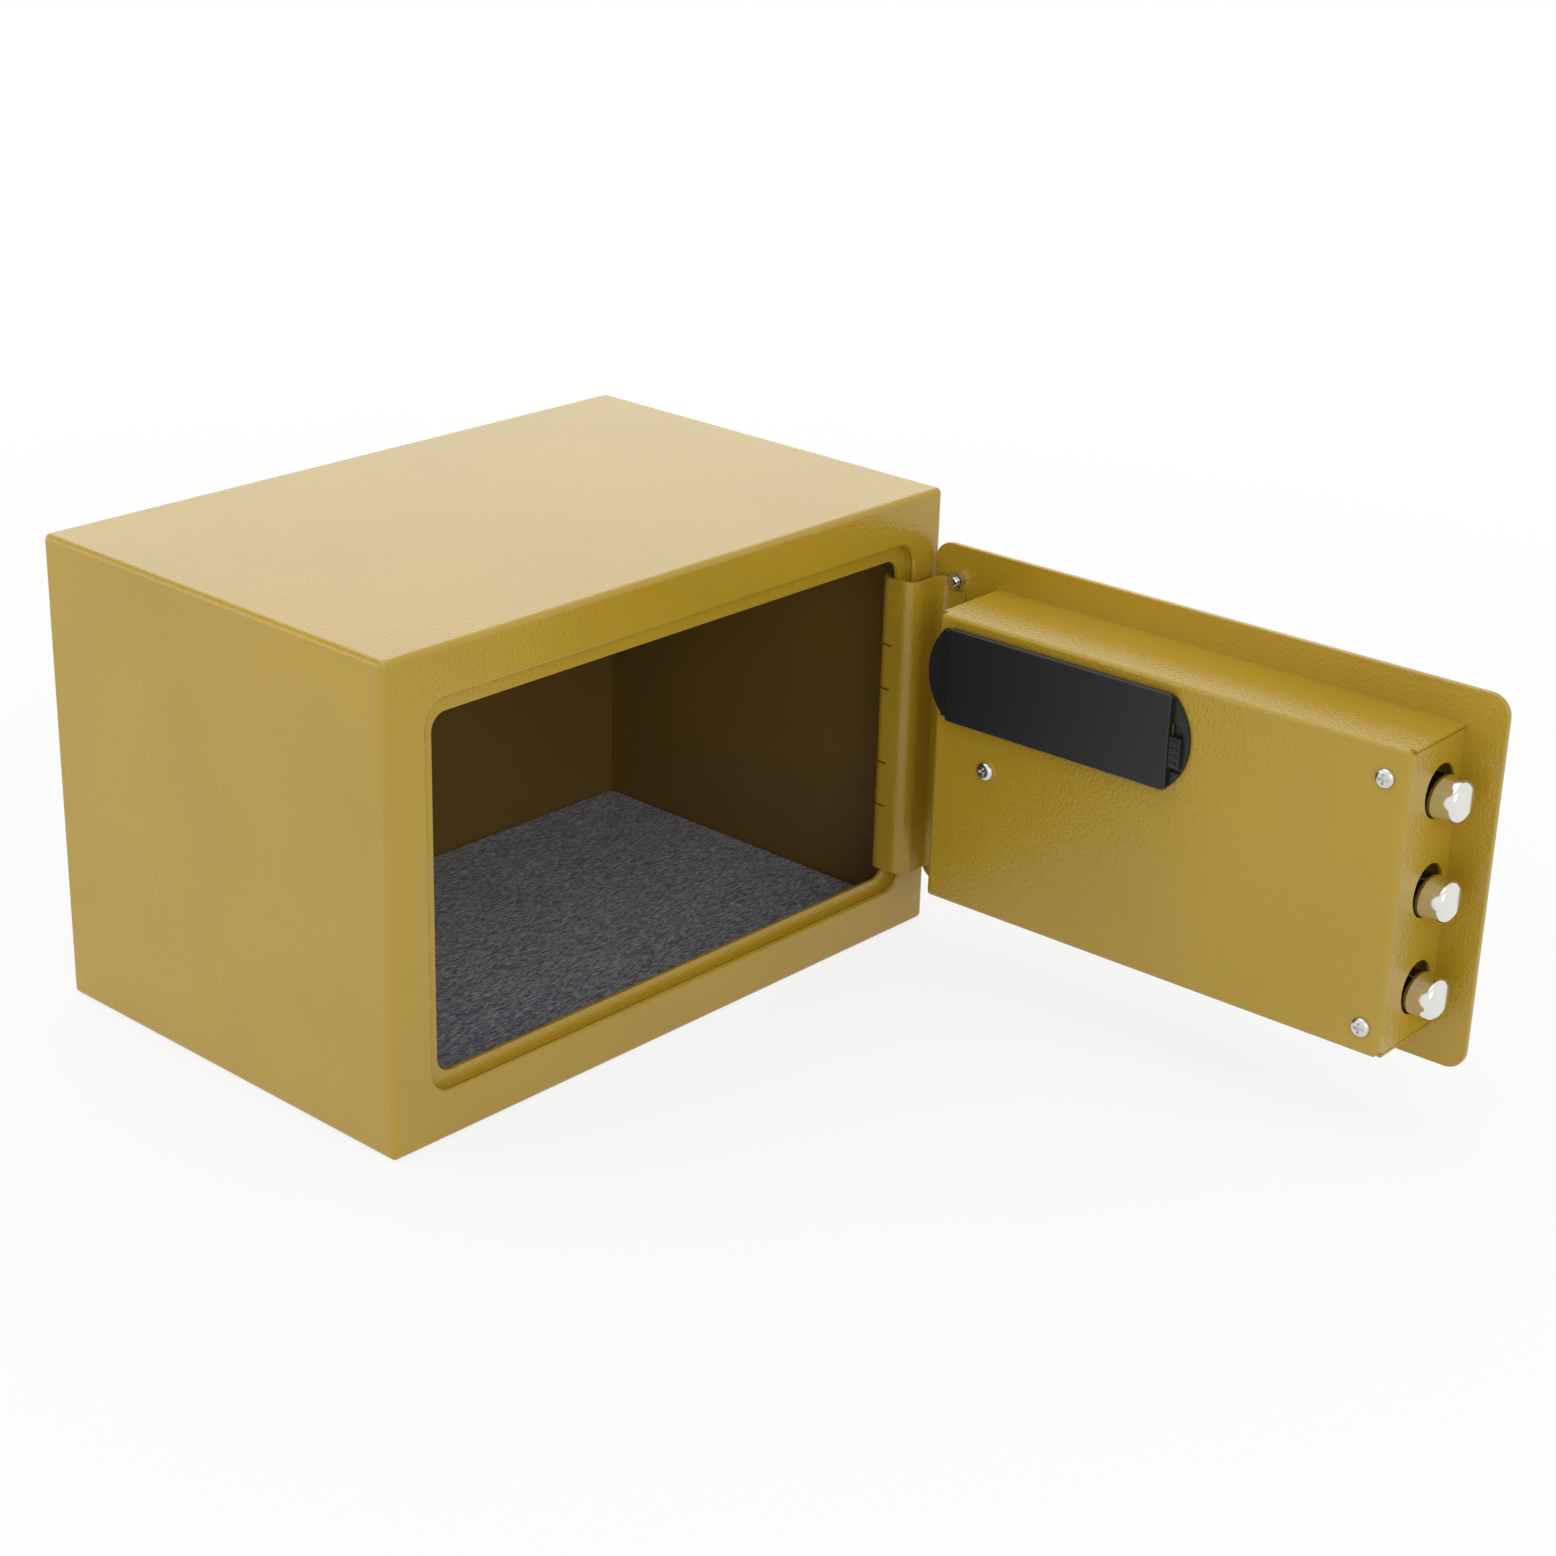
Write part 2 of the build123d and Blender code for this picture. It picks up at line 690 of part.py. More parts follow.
# ---- headed posts the carriage slides on ----
with BuildPart() as guide_posts:
    with BuildSketch(door_face(0.0)):
        with Locations(*guide_spots):
            Circle(guide_collar / 2)
    extrude(amount=carriage_off - guide_gap)
    with BuildSketch(door_face(0.0)):
        with Locations(*guide_spots):
            Circle(guide_shank / 2)
    extrude(amount=carriage_off + carriage_sheet + guide_gap)
    with BuildSketch(door_face(carriage_off + carriage_sheet + guide_gap)):
        with Locations(*guide_spots):
            Circle(guide_collar / 2)
    extrude(amount=guide_head_height)
save(guide_posts.part, "guide_posts")

# ---- crank on the inner end of the knob spindle ----
with BuildPart() as spindle_cam:
    with BuildSketch(door_face(cam_off)):
        with Locations(knob_at):
            Circle(cam_diameter / 2)
            Circle(spindle_end_diameter / 2, mode=Mode.SUBTRACT)
    extrude(amount=cam_sheet)
    with BuildSketch(door_face(cam_off + cam_sheet)):
        with Locations(crank_start):
            Circle(crank_pin / 2)
    extrude(amount=cam_pin_top - cam_off - cam_sheet)
save(spindle_cam.part, "spindle_cam")

# ---- knob spindle ----
with BuildPart() as knob_spindle:
    with BuildSketch(door_face(spindle_top)):
        with Locations(knob_at):
            Circle(spindle_diameter / 2)
    extrude(amount=cam_off - spindle_top)
    with BuildSketch(door_face(cam_off)):
        with Locations(knob_at):
            Circle(spindle_end_diameter / 2)
    extrude(amount=spindle_end - cam_off)
save(knob_spindle.part, "knob_spindle")

# ---- bush that carries the spindle in the door plate ----
with BuildPart() as spindle_bush:
    with BuildSketch(door_face(outer_face)):
        with Locations(knob_at):
            Circle(bush_outer / 2)
            Circle(spindle_diameter / 2 + bush_fit, mode=Mode.SUBTRACT)
    extrude(amount=plate_sheet)
    with BuildSketch(door_face(0.0)):
        with Locations(knob_at):
            Circle(bush_flange / 2)
            Circle(spindle_diameter / 2 + bush_fit, mode=Mode.SUBTRACT)
    extrude(amount=bush_flange_sheet)
save(spindle_bush.part, "spindle_bush")

# ---- turning knob with a raised grip ----
knob_foot = fascia_face - knob_gap
with BuildPart() as knob:
    with BuildSketch(door_face(knob_foot)):
        with Locations(knob_at):
            Circle(knob_diameter / 2)
    extrude(amount=-knob_base)
    rim = knob.edges().group_by(Axis(door_point(0, 0, 0), inward))[0]
    fillet(rim, radius=knob_round)
    with BuildSketch(door_face(knob_foot - knob_base)):
        with Locations(Location((knob_at[0], knob_at[1], 0), (0, 0, 90 + crank_swing))):
            RectangleRounded(knob_grip[0], knob_grip[1], knob_grip[1] / 2 - knob_round)
    extrude(amount=-knob_grip_height)
    rim = knob.edges().group_by(Axis(door_point(0, 0, 0), inward))[0]
    fillet(rim, radius=knob_round)
    with BuildSketch(door_face(knob_foot)):
        with Locations(knob_at):
            Circle(spindle_diameter / 2)
    extrude(amount=spindle_top - knob_foot, mode=Mode.SUBTRACT)
save(knob.part, "knob")

# ---- keypad fascia ----
key_spots = [
    (key_middle[0] + column * key_pitch[0], key_middle[1] + row * key_pitch[1])
    for row in (1.5, 0.5, -0.5, -1.5)
    for column in (1, 0, -1)
]
light_spots = [(key_middle[0] + step * light_spacing, light_height) for step in (-1, 0, 1)]
fascia_middle = ((fascia_from + fascia_to) / 2, (fascia_bottom + fascia_top) / 2)
with BuildPart() as fascia:
    with BuildSketch(door_face(outer_face)):
        with Locations(fascia_middle):
            RectangleRounded(fascia_to - fascia_from, fascia_top - fascia_bottom, fascia_corner)
    extrude(amount=-fascia_depth)
    rim = fascia.edges().group_by(Axis(door_point(0, 0, 0), inward))[0]
    fillet(rim, radius=fascia_round)
    with BuildSketch(door_face(outer_face)):
        with Locations(fascia_middle):
            RectangleRounded(
                fascia_to - fascia_from - 2 * fascia_wall,
                fascia_top - fascia_bottom - 2 * fascia_wall,
                fascia_corner - fascia_wall,
            )
    extrude(amount=fascia_wall - fascia_depth, mode=Mode.SUBTRACT)
    with BuildSketch(door_face(outer_face)):
        with Locations(*fascia_screw_spots):
            Circle(fascia_boss / 2)
        with Locations(lock_at):
            Circle(lock_flange / 2)
    extrude(amount=fascia_wall - fascia_depth)
    with BuildSketch(door_face(outer_face)):
        with Locations(*fascia_screw_spots):
            Circle(fascia_screw / 2)
    extrude(amount=-fascia_screw_depth, mode=Mode.SUBTRACT)
    with BuildSketch(door_face(fascia_face)):
        with Locations(*key_spots):
            RectangleRounded(key_size[0] + 2 * key_gap, key_size[1] + 2 * key_gap, key_corner + key_gap)
        with Locations(*light_spots):
            Circle(light_diameter / 2 + light_clear)
        with Locations(knob_at):
            Circle(bush_outer / 2)
    extrude(amount=fascia_wall, mode=Mode.SUBTRACT)
    with BuildSketch(door_face(fascia_face)):
        with Locations(lock_at):
            Circle(lock_diameter / 2 + lock_clear)
    extrude(amount=fascia_depth, mode=Mode.SUBTRACT)
    with BuildSketch(door_face(fascia_face)):
        with Locations((lock_at[0], lock_at[1] + key_cover_pivot)):
            Circle(pivot_diameter / 2)
    extrude(amount=fascia_wall, mode=Mode.SUBTRACT)
save(fascia.part, "keypad_fascia")

# ---- screws that hold the fascia from inside the door ----
with BuildPart() as fascia_screws:
    with BuildSketch(door_face(0.0)):
        with Locations(*fascia_screw_spots):
            Circle(fascia_screw_head / 2)
    extrude(amount=fascia_screw_head_height)
    with BuildSketch(door_face(0.0)):
        with Locations(*fascia_screw_spots):
            Circle(fascia_screw / 2)
    extrude(amount=-plate_sheet - fascia_screw_depth)
save(fascia_screws.part, "fascia_screws")

# ---- circuit board, rubber key mat and indicator lights ----
with BuildPart() as circuit_board:
    with BuildSketch(door_face(outer_face)):
        with Locations(((board_box[0] + board_box[1]) / 2, (board_box[2] + board_box[3]) / 2)):
            Rectangle(board_box[1] - board_box[0], board_box[3] - board_box[2])
    extrude(amount=-board_sheet)
save(circuit_board.part, "circuit_board")
with BuildPart() as key_mat:
    with BuildSketch(door_face(outer_face - board_sheet)):
        with Locations(((key_mat_box[0] + key_mat_box[1]) / 2, (key_mat_box[2] + key_mat_box[3]) / 2)):
            Rectangle(key_mat_box[1] - key_mat_box[0], key_mat_box[3] - key_mat_box[2])
    extrude(amount=-key_mat_sheet)
save(key_mat.part, "key_mat")
with BuildPart() as indicator_lights:
    with BuildSketch(door_face(outer_face - board_sheet)):
        with Locations(*light_spots):
            Circle(light_diameter / 2)
    extrude(amount=board_sheet - fascia_depth - light_stand)
    rim = indicator_lights.edges().group_by(Axis(door_point(0, 0, 0), inward))[0]
    fillet(rim, radius=light_stand)
save(indicator_lights.part, "indicator_lights")

# ---- twelve keys, each a cap with a flange trapped under the fascia ----
key_names = ("1", "2", "3", "4", "5", "6", "7", "8", "9", "star", "0", "hash")
key_under = fascia_face + fascia_wall
for key_name, key_spot in zip(key_names, key_spots):
    with BuildPart() as key:
        with BuildSketch(door_face(key_under)):
            with Locations(key_spot):
                RectangleRounded(
                    key_size[0] + 2 * key_gap + 2 * key_flange,
                    key_size[1] + 2 * key_gap + 2 * key_flange,
                    key_corner,
                )
        extrude(amount=key_flange_sheet)
        with BuildSketch(door_face(key_under)):
            with Locations(key_spot):
                RectangleRounded(key_size[0], key_size[1], key_corner)
        extrude(amount=-fascia_wall - key_stand)
        rim = key.edges().group_by(Axis(door_point(0, 0, 0), inward))[0]
        fillet(rim, radius=key_dish)
    save(key.part, "key_" + key_name)

# ---- key lock: barrel, nut, plug and tongue ----
lock_face = fascia_face - lock_flange_sheet
with BuildPart() as lock_cylinder:
    with BuildSketch(door_face(lock_face)):
        with Locations(lock_at):
            Circle(lock_flange / 2)
    extrude(amount=lock_flange_sheet)
    with BuildSketch(door_face(fascia_face)):
        with Locations(lock_at):
            Circle(lock_diameter / 2)
    extrude(amount=lock_inner - fascia_face)
    with BuildSketch(door_face(lock_face)):
        with Locations(lock_at):
            Circle(plug_diameter / 2 + plug_fit)
    extrude(amount=lock_inner - lock_face, mode=Mode.SUBTRACT)
save(lock_cylinder.part, "lock_cylinder")
with BuildPart() as lock_nut_piece:
    with BuildSketch(door_face(0.0)):
        with Locations(lock_at):
            RegularPolygon(lock_nut / 2, 6)
            Circle(lock_diameter / 2, mode=Mode.SUBTRACT)
    extrude(amount=lock_nut_height)
save(lock_nut_piece.part, "lock_nut")
with BuildPart() as lock_plug:
    with BuildSketch(door_face(lock_face)):
        with Locations(lock_at):
            Circle(plug_diameter / 2)
    extrude(amount=lock_inner - lock_face + lock_flange_sheet / 2)
    with BuildSketch(door_face(lock_face)):
        with Locations(lock_at):
            Rectangle(key_slot[0], key_slot[1])
    extrude(amount=key_slot_depth, mode=Mode.SUBTRACT)
save(lock_plug.part, "lock_plug")
with BuildPart() as lock_tongue:
    with BuildSketch(door_face(lock_inner + lock_flange_sheet / 2)):
        with Locations((lock_at[0], lock_at[1] - tongue_length / 2 + tongue_width / 2)):
            SlotOverall(tongue_length, tongue_width, rotation=90)
    extrude(amount=tongue_sheet)
save(lock_tongue.part, "lock_tongue")

# ---- swivel cover over the keyhole and its pivot ----
cover_under = lock_face - key_cover_gap
pivot_spot = (lock_at[0], lock_at[1] + key_cover_pivot)
with BuildPart() as keyhole_cover:
    with BuildSketch(door_face(cover_under)):
        with Locations(lock_at):
            Circle(key_cover_diameter / 2)
        with Locations((lock_at[0], lock_at[1] + key_cover_pivot / 2)):
            Rectangle(key_cover_ear, key_cover_pivot)
        with Locations(pivot_spot):
            Circle(key_cover_ear / 2)
    extrude(amount=-key_cover_sheet)
    rim = keyhole_cover.faces().sort_by(Axis(door_point(0, 0, 0), inward))[0].edges()
    fillet(rim, radius=key_cover_sheet / 5)
    with BuildSketch(door_face(cover_under)):
        with Locations(pivot_spot):
            Circle(pivot_diameter / 2 + running_fit)
    extrude(amount=-key_cover_sheet, mode=Mode.SUBTRACT)
save(keyhole_cover.part, "keyhole_cover")
with BuildPart() as cover_pivot:
    with BuildSketch(door_face(fascia_face + fascia_wall)):
        with Locations(pivot_spot):
            Circle(pivot_diameter / 2)
    extrude(amount=cover_under - key_cover_sheet - key_cover_gap / 2 - fascia_face - fascia_wall)
    with BuildSketch(door_face(cover_under - key_cover_sheet - key_cover_gap / 2)):
        with Locations(pivot_spot):
            Circle(pivot_head / 2)
    extrude(amount=-pivot_head_height)
save(cover_pivot.part, "cover_pivot")

# ---- solenoid: folded frame, wound coil, plunger and its spring ----
solenoid_reach = solenoid_at[0]
solenoid_off = solenoid_at[1]
with BuildPart() as solenoid_frame:
    with BuildSketch(door_plan(solenoid_bottom)):
        with Locations((solenoid_reach, -solenoid_height / 2)):
            Rectangle(solenoid_width, solenoid_height)
    extrude(amount=solenoid_top - solenoid_bottom)
    with BuildSketch(door_plan(solenoid_bottom + solenoid_sheet)):
        with Locations((solenoid_reach, -solenoid_height / 2 - solenoid_sheet)):
            Rectangle(solenoid_width, solenoid_height)
    extrude(amount=solenoid_top - solenoid_bottom - 2 * solenoid_sheet, mode=Mode.SUBTRACT)
    with BuildSketch(door_plan(solenoid_bottom)):
        with Locations((solenoid_reach, -solenoid_off)):
            Circle(plunger_diameter / 2 + plunger_clear)
    extrude(amount=solenoid_top - solenoid_bottom, mode=Mode.SUBTRACT)
save(solenoid_frame.part, "solenoid_frame")
with BuildPart() as solenoid_coil:
    with BuildSketch(door_plan(solenoid_bottom + solenoid_sheet)):
        with Locations((solenoid_reach, -solenoid_off)):
            Circle(coil_diameter / 2)
            Circle(plunger_diameter / 2 + plunger_clear, mode=Mode.SUBTRACT)
    extrude(amount=solenoid_top - solenoid_bottom - 2 * solenoid_sheet)
save(solenoid_coil.part, "solenoid_coil")
with BuildPart() as solenoid_plunger:
    with BuildSketch(door_plan(solenoid_bottom + plunger_tail)):
        with Locations((solenoid_reach, -solenoid_off)):
            Circle(plunger_diameter / 2)
    extrude(amount=carriage_step[1] - plunger_gap - solenoid_bottom - plunger_tail)
    with BuildSketch(door_plan(plunger_collar_at)):
        with Locations((solenoid_reach, -solenoid_off)):
            Circle(plunger_collar / 2)
    extrude(amount=plunger_collar_height)
save(solenoid_plunger.part, "solenoid_plunger")
spring_length = plunger_collar_at - solenoid_top - spring_wire
spring_path = Helix(
    pitch=spring_length / spring_turns,
    height=spring_length,
    radius=spring_coil / 2,
    center=door_point(solenoid_reach, solenoid_off, solenoid_top + spring_wire / 2),
)
with BuildPart() as plunger_spring:
    with BuildSketch(Plane(origin=spring_path @ 0, z_dir=spring_path % 0)):
        Circle(spring_wire / 2)
    sweep(path=spring_path, is_frenet=True)
save(plunger_spring.part, "plunger_spring")

# ---- battery holder: flat flange with bowed ends and a tub let through the inner cover ----
flange_face = pan_depth + flange_sheet
tub_middle = ((tub_from + tub_to) / 2, (tub_bottom + tub_top) / 2)
with BuildPart() as battery_box:
    with BuildSketch(door_face(pan_depth)):
        with BuildLine():
            bottom_line = Line((flange_from, flange_bottom), (flange_to, flange_bottom))
            right_bow = SagittaArc(
                bottom_line @ 1, (flange_to, flange_top), -flange_bulge_right
            )
            top_line = Line(right_bow @ 1, (flange_from, flange_top))
            SagittaArc(top_line @ 1, bottom_line @ 0, -flange_bulge_left)
        make_face()
    extrude(amount=flange_sheet)
    with BuildSketch(door_face(tub_floor)):
        with Locations(tub_middle):
            Rectangle(tub_to - tub_from, tub_top - tub_bottom)
    extrude(amount=pan_depth - tub_floor)
    with BuildSketch(door_face(tub_floor + tub_wall)):
        with Locations(tub_middle):
            Rectangle(tub_to - tub_from - 2 * tub_wall, tub_top - tub_bottom - 2 * tub_wall)
    extrude(amount=flange_face - tub_floor - tub_wall, mode=Mode.SUBTRACT)
    with BuildSketch(door_face(flange_face)):
        with Locations((cover_to + latch_notch_width / 2 - tub_wall / 2, sum(latch_notch) / 2)):
            Rectangle(latch_notch_width + tub_wall, latch_notch[1] - latch_notch[0])
    extrude(amount=-flange_sheet, mode=Mode.SUBTRACT)
save(battery_box.part, "battery_box")

# ---- battery cover, pivoting on its hinge ledge ----
with BuildPart() as battery_cover:
    with BuildSketch(door_face(flange_face)):
        with Locations(((cover_from + cover_to) / 2, (cover_bottom + cover_top) / 2)):
            RectangleRounded(cover_to - cover_from, cover_top - cover_bottom, cover_corner)
    extrude(amount=cover_sheet)
    rim = battery_cover.edges().group_by(Axis(door_point(0, 0, 0), inward))[-1]
    fillet(rim, radius=cover_edge_round)
    ledge_turn = cover_ledge_sheet / 2
    with BuildSketch(door_plan(cover_bottom + cover_corner)):
        with Locations((cover_from + cover_corner, -flange_face - ledge_turn)):
            Rectangle(
                cover_from + cover_corner - cover_ledge_from - ledge_turn,
                cover_ledge_sheet,
                align=(Align.MAX, Align.CENTER),
            )
        with Locations((cover_ledge_from + ledge_turn, -flange_face - ledge_turn)):
            Circle(ledge_turn)
    extrude(amount=cover_top - cover_bottom - 2 * cover_corner)
    with BuildSketch(door_face(flange_face)):
        with Locations((cover_to + latch_tab_reach / 2, sum(latch_tab) / 2)):
            Rectangle(latch_tab_reach + cover_corner, latch_tab[1] - latch_tab[0])
    extrude(amount=latch_tab_sheet)
    with BuildSketch(door_face(flange_face + latch_tab_sheet)):
        with Locations((cover_to + latch_tab_reach / 2, sum(latch_tab) / 2)):
            with GridLocations(0, latch_rib_pitch, 1, 4):
                Rectangle(latch_rib_length, 2 * latch_rib)
    extrude(amount=latch_rib)
save(battery_cover.part, "battery_cover")

# ---- four cells lying in two rows, with coil and plate contacts ----
cell_off = tub_floor + tub_wall + cell_diameter / 2
cells_from = tub_from + tub_wall
row_heights = (tub_middle[1] - cell_pitch / 2, tub_middle[1] + cell_pitch / 2)
cells_end = tub_to - tub_wall - contact_sheet
cells_start = cells_end - 2 * (cell_length + cell_nub_height) - cell_gap
with BuildPart() as battery_cells:
    for height in row_heights:
        for place in (0, 1):
            start = cells_start + place * (cell_length + cell_nub_height + cell_gap)
            with BuildSketch(door_end(start)):
                with Locations((height, cell_off)):
                    Circle(cell_diameter / 2)
            extrude(amount=cell_length)
            with BuildSketch(door_end(start + cell_length)):
                with Locations((height, cell_off)):
                    Circle(cell_nub / 2)
            extrude(amount=cell_nub_height)
save(battery_cells.part, "battery_cells")
coil_room = cells_start - cells_from - contact_sheet - contact_wire
with BuildPart() as battery_contacts:
    for reach in (cells_from, cells_end):
        with BuildSketch(door_end(reach)):
            with Locations((tub_middle[1], cell_off)):
                Rectangle(tub_top - tub_bottom - 2 * tub_wall, cell_diameter - 2 * contact_wire)
        extrude(amount=contact_sheet)
save(battery_contacts.part, "battery_contacts")
for row, height in zip(("lower", "upper"), row_heights):
    coil_path = Helix(
        pitch=coil_room / contact_turns,
        height=coil_room,
        radius=contact_coil / 2,
        center=door_point(cells_from + contact_sheet + contact_wire / 2, cell_off, height),
        direction=along,
    )
    with BuildPart() as contact_coil_piece:
        with BuildSketch(Plane(origin=coil_path @ 0, z_dir=coil_path % 0)):
            Circle(contact_wire / 2)
        sweep(path=coil_path, is_frenet=True)
    save(contact_coil_piece.part, "contact_coil_" + row)
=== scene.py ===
"""Studio scene of the electronic safe: finishes, lettering, light and camera."""

import math
import bmesh
import bpy
from mathutils import Euler, Matrix, Vector


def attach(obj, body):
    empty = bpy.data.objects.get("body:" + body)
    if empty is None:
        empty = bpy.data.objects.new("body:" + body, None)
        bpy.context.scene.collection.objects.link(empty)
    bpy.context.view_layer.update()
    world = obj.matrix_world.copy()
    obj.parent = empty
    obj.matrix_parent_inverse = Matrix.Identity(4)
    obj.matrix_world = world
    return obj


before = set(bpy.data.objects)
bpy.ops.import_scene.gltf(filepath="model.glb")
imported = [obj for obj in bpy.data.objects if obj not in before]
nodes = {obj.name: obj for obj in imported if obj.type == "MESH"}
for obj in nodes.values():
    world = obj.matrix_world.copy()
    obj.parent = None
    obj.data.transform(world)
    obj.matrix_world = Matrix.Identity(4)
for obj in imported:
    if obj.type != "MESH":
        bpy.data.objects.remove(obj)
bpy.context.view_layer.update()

scene = bpy.context.scene

# ---- places on the open door, in metres ----
DOOR_TURN = math.radians(91.75)
ALONG = Vector((-math.cos(DOOR_TURN), -math.sin(DOOR_TURN), 0.0))
INWARD = Vector((-math.sin(DOOR_TURN), math.cos(DOOR_TURN), 0.0))
UP = Vector((0.0, 0.0, 1.0))
PIN = Vector((0.1454, -0.0907, 0.0))
HINGE_EDGE = PIN + 0.0106 * ALONG - 0.0048 * INWARD
KEY_FACE = -0.0120
KEY_MIDDLE = (0.086, 0.098)
KEY_PITCH = (0.018, 0.016)
LIGHT_PITCH = 0.012
LATCH_FLOOR_AT = (0.1520, 0.04016, 0.1375)
LATCH_FLOOR_SIZE = (0.0052, 0.0199, 0.0003)

# ---- lettering, in metres ----
LEGENDS = (
    ("key_1", "1"), ("key_2", "2"), ("key_3", "3"),
    ("key_4", "4"), ("key_5", "5"), ("key_6", "6"),
    ("key_7", "7"), ("key_8", "8"), ("key_9", "9"),
    ("key_star", "*"), ("key_0", "0"), ("key_hash", "#"),
)
LEGEND_SIZE = 0.0078
INK_THICKNESS = 0.00002
INK_STAND = 0.00003

# ---- finishes: cells are per metre, depths and boxes in metres ----
GOLD = "B69527"
# darker gold used as painted shade, standing in for the shade inside the cabinet and on its hinge
# leaf
PAINTED_SHADE_GOLD = "7C612B"
PEEL_CELLS = 720.0  # 1.4 mm each
PEEL_DEPTH = 0.0003
TONE_CELLS = 14.0  # 70 mm each
# boxes inside the shell and in front of the back panel's inner face, where the darker gold is
# painted as shade
PAINTED_SHADE_SHELL_BOX = ((-0.1535, 0.1535), (-0.0985, 0.2), (0.0015, 0.1985))
PAINTED_SHADE_BACK_BOX = ((-0.2, 0.2), (-0.2, 0.0948), (-0.1, 0.3))
FIBRE_CELLS = (300.0, 1600.0, 400.0)  # 3.3 mm long, 0.6 mm wide
FIBRE_TURNS = (0.3, 1.35, 2.4)
FELT_DEPTH = 0.0005
ZINC_GRAIN = (900.0, 0.00001)
MOULDED_GRAIN = (1600.0, 0.00002)
NO_GRAIN = (0.0, 0.0)

# ---- sockets of the colour mix node, which share their names ----
MIX_FIRST = 6
MIX_SECOND = 7
MIXED = 2


def door_point(reach, off, height):
    """Place on the door from its hinge edge, its inner face and the floor."""
    return HINGE_EDGE + reach * ALONG + off * INWARD + height * UP


def colour(code):
    """Linear colour from a six-digit sRGB code."""
    values = [int(code[place : place + 2], 16) / 255 for place in (0, 2, 4)]
    return [v / 12.92 if v <= 0.04045 else ((v + 0.055) / 1.055) ** 2.4 for v in values] + [1.0]


def add(tree, kind, sockets=None, **settings):
    """Add a shader node, set its settings, and fill or link its sockets."""
    made = tree.nodes.new(kind)
    for name, value in settings.items():
        setattr(made, name, value)
    for name, value in (sockets or {}).items():
        if isinstance(value, bpy.types.NodeSocket):
            tree.links.new(value, made.inputs[name])
        else:
            made.inputs[name].default_value = value
    return made


def maths(tree, operation, first, second=None):
    """Result of one operation on a value, or on two."""
    sockets = {0: first} if second is None else {0: first, 1: second}
    return add(tree, "ShaderNodeMath", sockets, operation=operation).outputs[0]


def new_material(name):
    """Empty material with its output, ready for a surface."""
    material = bpy.data.materials.new(name)
    material.use_nodes = True
    tree = material.node_tree
    tree.nodes.clear()
    output = add(tree, "ShaderNodeOutputMaterial")
    return material, tree, output


def surface(tree, output, sockets):
    """Principled surface joined to the output."""
    shader = add(tree, "ShaderNodeBsdfPrincipled", sockets)
    tree.links.new(shader.outputs["BSDF"], output.inputs["Surface"])


def object_place(tree):
    """Place on the object, in metres."""
    return add(tree, "ShaderNodeTexCoord").outputs["Object"]


def plain(name, code, roughness, metallic=0.0, grain=NO_GRAIN):
    """One colour, with a fine moulded or brushed grain where its cells and depth are given."""
    material, tree, output = new_material(name)
    sockets = {"Base Color": colour(code), "Roughness": roughness, "Metallic": metallic}
    cells, depth = grain
    if cells:
        noise = add(
            tree,
            "ShaderNodeTexNoise",
            {"Vector": object_place(tree), "Scale": cells, "Detail": 2.0},
        )
        bump = add(
            tree,
            "ShaderNodeBump",
            {"Height": noise.outputs["Fac"], "Strength": 0.6, "Distance": depth},
        )
        sockets["Normal"] = bump.outputs["Normal"]
    surface(tree, output, sockets)
    return material


def within_box(tree, where, box):
    """One inside a box given as a low and a high for each axis, and zero outside it."""
    place = add(tree, "ShaderNodeSeparateXYZ", {"Vector": where})
    mask = None
    for axis, (low, high) in zip("XYZ", box):
        centred = maths(tree, "SUBTRACT", place.outputs[axis], (low + high) / 2)
        distance = maths(tree, "ABSOLUTE", centred)
        within = maths(tree, "LESS_THAN", distance, (high - low) / 2)
        mask = within if mask is None else maths(tree, "MULTIPLY", mask, within)
    return mask


def powder_coat(name, code, inside=None):
    """Glossy powder coat with orange peel 1.4 mm across and a slow change of tone over 70 mm.

    inside gives the box within which a darker gold shows instead, painted shade for the unlit
    interior.
    """
    material, tree, output = new_material(name)
    where = object_place(tree)
    peel = add(
        tree, "ShaderNodeTexNoise", {"Vector": where, "Scale": PEEL_CELLS, "Detail": 1.5}
    )
    broad = add(
        tree, "ShaderNodeTexNoise", {"Vector": where, "Scale": TONE_CELLS, "Detail": 2.0}
    )
    bump = add(
        tree,
        "ShaderNodeBump",
        {"Height": peel.outputs["Fac"], "Strength": 0.8, "Distance": PEEL_DEPTH},
    )
    tone = add(
        tree,
        "ShaderNodeMapRange",
        {
            "Value": broad.outputs["Fac"],
            "From Min": 0.3,
            "From Max": 0.7,
            "To Min": 0.96,
            "To Max": 1.04,
        },
    )
    paint = colour(code)
    # within the box the gold gives way to the darker gold: painted shade of the interior
    if inside:
        blend = add(
            tree,
            "ShaderNodeMix",
            {
                "Factor": within_box(tree, where, inside),
                MIX_FIRST: paint,
                MIX_SECOND: colour(PAINTED_SHADE_GOLD),
            },
            data_type="RGBA",
        )
        paint = blend.outputs[MIXED]
    shade = add(
        tree,
        "ShaderNodeMix",
        {"Factor": 1.0, MIX_FIRST: paint, MIX_SECOND: tone.outputs["Result"]},
        data_type="RGBA",
        blend_type="MULTIPLY",
    )
    surface(
        tree,
        output,
        {
            "Base Color": shade.outputs[MIXED],
            "Roughness": 0.19,
            "Specular IOR Level": 0.55,
            "Normal": bump.outputs["Normal"],
        },
    )
    return material


